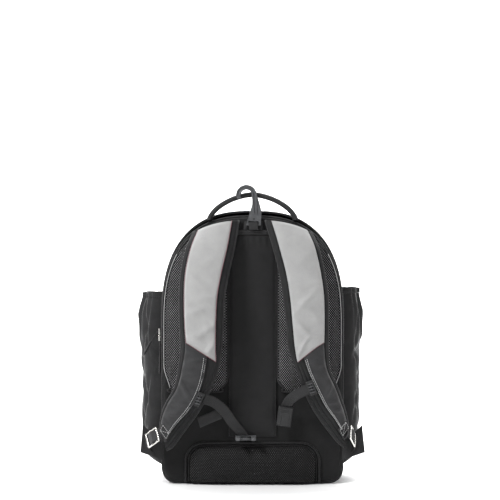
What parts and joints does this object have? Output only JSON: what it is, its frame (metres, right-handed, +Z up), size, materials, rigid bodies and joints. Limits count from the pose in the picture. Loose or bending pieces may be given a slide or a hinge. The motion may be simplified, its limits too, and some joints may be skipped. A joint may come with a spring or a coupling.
{
  "type": "baseball bat backpack",
  "caption": "Black and grey sports backpack with open side pockets for bats, padded shoulder straps, sternum strap, haul handle and fence hook.",
  "frame": {"origin": "middle of the flat base, on the surface that the bag stands on", "axes": "+Z up from the base to the haul handle, -Y out of the back panel towards the wearer's straps, +Y to the front compartment, +X to the right of someone who faces the straps"},
  "size_m": [0.4439, 0.2893, 0.583],
  "materials": {
    "black_cloth": "black woven polyester with a slight sheen, soft creases",
    "grey_cloth": "light grey woven polyester, matt, soft creases",
    "air_mesh": "black spacer mesh with a diagonal open knit",
    "webbing": "black ribbed nylon webbing",
    "trim": "black binding tape, piping and zipper tape",
    "plastic_hardware": "dark grey satin moulded plastic",
    "nickel_hardware": "polished nickel"
  },
  "bodies": {
    "root": {"back_panel": "black_cloth", "gusset_top": "black_cloth", "gusset_left": "black_cloth", "gusset_right": "black_cloth", "base_panel": "black_cloth", "front_panel": "black_cloth", "front_compartment": "black_cloth", "spine_sleeve": "black_cloth", "sleeve_hem": "black_cloth", "bat_pocket_left": "black_cloth", "bat_pocket_right": "black_cloth", "pocket_hem_left": "black_cloth", "pocket_hem_right": "black_cloth", "strap_cover_black_left": "black_cloth", "strap_cover_black_right": "black_cloth", "strap_cover_grey_left": "grey_cloth", "strap_cover_grey_right": "grey_cloth", "lumbar_pad": "air_mesh", "mesh_pad_left": "air_mesh", "mesh_pad_right": "air_mesh", "strap_pad_left": "air_mesh", "strap_pad_right": "air_mesh", "haul_handle": "webbing", "hook_tab": "webbing", "sternum_tail": "webbing", "anchor_wing_left": "webbing", "anchor_wing_right": "webbing", "strap_webbing_left": "webbing", "strap_webbing_right": "webbing", "sternum_webbing_left": "webbing", "sternum_webbing_right": "webbing", "panel_piping": "trim", "lumbar_piping": "trim", "main_zipper": "trim", "front_zipper": "trim", "zip_pull_upright": "trim", "zip_pull_slanted": "trim", "fence_hook": "plastic_hardware", "buckle_male": "plastic_hardware", "buckle_female": "plastic_hardware", "sternum_clip_left": "plastic_hardware", "sternum_clip_right": "plastic_hardware", "ladder_lock_left": "nickel_hardware", "ladder_lock_right": "nickel_hardware", "zip_slider_lower": "nickel_hardware", "zip_slider_upper": "nickel_hardware"}
  },
  "joints": []
}
